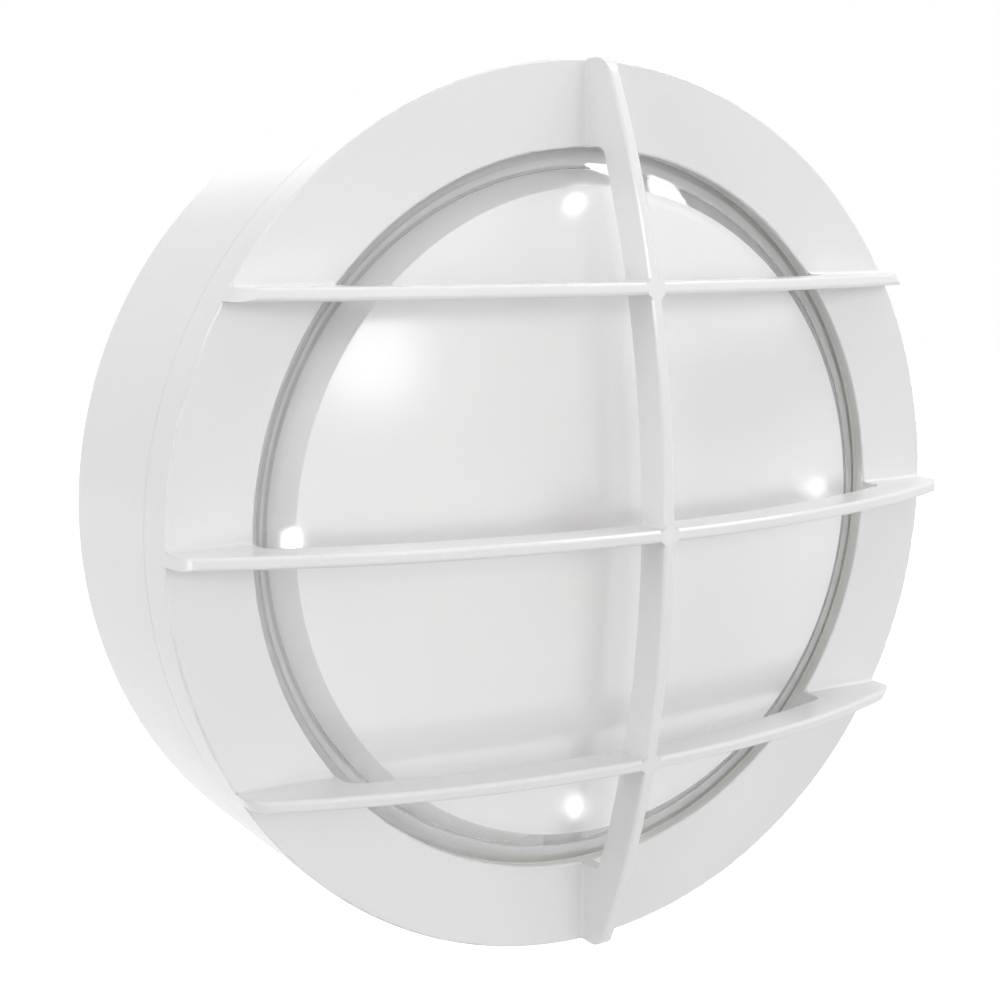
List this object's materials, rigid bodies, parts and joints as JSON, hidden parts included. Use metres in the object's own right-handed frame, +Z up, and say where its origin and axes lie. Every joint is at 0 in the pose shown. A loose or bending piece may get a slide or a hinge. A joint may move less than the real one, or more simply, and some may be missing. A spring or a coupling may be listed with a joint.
{
  "type": "bulkhead light",
  "caption": "Round wall light: a white drum housing, a bezel with a bowed guard cast in one piece with it, and a domed satin glass behind the guard.",
  "frame": {"origin": "middle of the back face, on the wall", "axes": "+Z up, +Y into the wall, so the light faces -Y, and +X to the right as one looks at it"},
  "size_m": [0.28, 0.1203, 0.2832],
  "materials": {
    "white_coat": "white powder coat on cast aluminium",
    "white_sheet": "white gloss paint on sheet steel",
    "white_board": "white solder mask on an aluminium-cored board",
    "phosphor": "light package",
    "satin_glass": "pressed glass, satin inside the dome, clear at its rim",
    "rubber": "matt",
    "silicone": "pale silicone",
    "zinc": "zinc plate",
    "brass": "plain",
    "ivory_plastic": "moulded",
    "driver_case": "moulded",
    "brown_lead": "lead sleeve",
    "earth_lead": "lead sleeve",
    "red_lead": "lead sleeve"
  },
  "bodies": {
    "base": {"base_housing": "white_coat", "wall_gasket": "rubber", "cable_grommet": "rubber", "blanking_plug": "white_coat", "plug_washer": "rubber", "body_gasket": "rubber", "gear_tray": "white_sheet", "tray_screws": "zinc", "tray_grommet": "rubber", "led_board": "white_board", "led_packages": "phosphor", "board_connector": "ivory_plastic", "board_screws": "zinc", "led_driver": "driver_case", "driver_screws": "zinc", "terminal_block": "ivory_plastic", "terminal_screws": "zinc", "terminal_fixings": "zinc", "earth_washer": "brass", "earth_screw": "brass", "mains_leads": "brown_lead", "earth_lead": "earth_lead", "board_leads": "red_lead"},
    "front": {"guard_bezel": "white_coat", "glass": "satin_glass", "glass_gasket": "silicone", "glass_clips": "zinc", "clip_screws": "zinc", "bezel_screws": "zinc"}
  },
  "joints": [
    {"name": "front_lift", "type": "slide", "parent": "base", "child": "front", "axis": [0, -1, 0], "range_m": [0, 0.06]}
  ]
}
